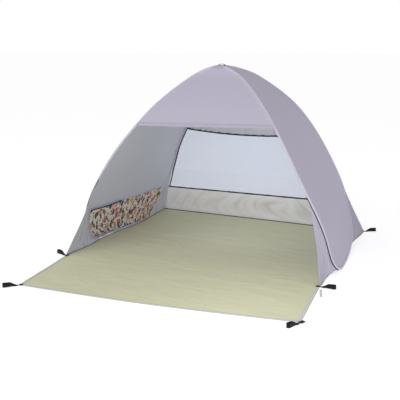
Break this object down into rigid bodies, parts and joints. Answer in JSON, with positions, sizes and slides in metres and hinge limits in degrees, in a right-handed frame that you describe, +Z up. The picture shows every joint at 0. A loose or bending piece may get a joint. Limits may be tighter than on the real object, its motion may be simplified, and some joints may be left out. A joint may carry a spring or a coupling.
{
  "type": "pop-up beach shade tent",
  "caption": "Pop-up beach shade: two closed spring hoops meeting at the crown carry cloth walls over a floor sheet with a front mat, a mesh back window, a side pocket and corner peg loops.",
  "frame": {"origin": "on the ground, midway between the hoops, level with the left front floor corner", "axes": "+X to the right seen from the doorway, +Y from the doorway to the back, +Z up"},
  "size_m": [1.9798, 2.3498, 1.3174],
  "materials": {
    "wall_cloth": "matte",
    "lining": "satin",
    "mesh": "matte",
    "floor": "matte",
    "print": "matte",
    "dark_tape": "matte",
    "grey_tape": "matte",
    "webbing": "matte",
    "rod": "satin",
    "ferrule": "satin"
  },
  "bodies": {
    "left_half": {"left_rod": "rod", "left_ferrule": "ferrule", "left_sleeve": "wall_cloth", "left_side_panel": "wall_cloth", "left_front_gusset": "wall_cloth", "left_rear_gusset": "wall_cloth", "left_seam_tape": "dark_tape", "left_window_binding": "dark_tape", "side_pocket": "print", "pocket_binding": "dark_tape", "front_upper_panel": "wall_cloth", "door_hem": "wall_cloth", "rear_upper_panel": "lining", "rear_window": "mesh", "window_top_binding": "dark_tape", "window_bottom_binding": "dark_tape", "rear_skirt": "lining", "rear_floor_tape": "dark_tape", "floor_sheet": "floor", "mat_binding": "grey_tape", "crown_tie": "dark_tape"},
    "right_half": {"right_rod": "rod", "right_ferrule": "ferrule", "right_sleeve": "wall_cloth", "right_side_panel": "wall_cloth", "right_front_gusset": "wall_cloth", "right_rear_gusset": "wall_cloth", "right_seam_tape": "dark_tape", "right_window_binding": "dark_tape", "corner_ribbon": "grey_tape"},
    "peg_mat_left": {"loop_mat_left": "webbing"},
    "peg_mat_right": {"loop_mat_right": "webbing"},
    "peg_front_left": {"loop_front_left": "webbing"},
    "peg_front_right": {"loop_front_right": "webbing"},
    "peg_rear_left": {"loop_rear_left": "webbing"},
    "peg_rear_right": {"loop_rear_right": "webbing"}
  },
  "joints": [
    {"name": "hoop_fold", "type": "hinge", "parent": "left_half", "child": "right_half", "pos_m": [0, 0.6468, 1.294], "axis": [0, 1, 0], "range_deg": [0, 60], "stiffness_Nm_per_rad": 3, "springref_deg": -34.38, "deforming": ["front_upper_panel", "door_hem", "rear_upper_panel", "rear_window", "window_top_binding", "window_bottom_binding", "rear_skirt", "rear_floor_tape", "floor_sheet", "mat_binding", "crown_tie"]},
    {"name": "lift_mat_left", "type": "hinge", "parent": "left_half", "child": "peg_mat_left", "pos_m": [-0.81812, -0.63612, 0.0026], "axis": [-0.7071, 0.7071, 0], "range_deg": [0, 90]},
    {"name": "lift_mat_right", "type": "hinge", "parent": "right_half", "child": "peg_mat_right", "pos_m": [0.91455, -0.53069, 0.0026], "axis": [-0.891, 0.454, 0], "range_deg": [0, 90]},
    {"name": "lift_front_left", "type": "hinge", "parent": "left_half", "child": "peg_front_left", "pos_m": [-0.91078, 0.00112, 0.0026], "axis": [0.3746, 0.9272, 0], "range_deg": [0, 85]},
    {"name": "lift_front_right", "type": "hinge", "parent": "right_half", "child": "peg_front_right", "pos_m": [0.883, 0.07, 0.0026], "axis": [0, -1, 0], "range_deg": [0, 85]},
    {"name": "lift_rear_left", "type": "hinge", "parent": "left_half", "child": "peg_rear_left", "pos_m": [-0.9146, 1.5875, 0.0026], "axis": [0.5, 0.866, 0], "range_deg": [0, 60]},
    {"name": "lift_rear_right", "type": "hinge", "parent": "right_half", "child": "peg_rear_right", "pos_m": [0.89652, 1.49763, 0.0026], "axis": [0.5446, -0.8387, 0], "range_deg": [0, 60]}
  ]
}
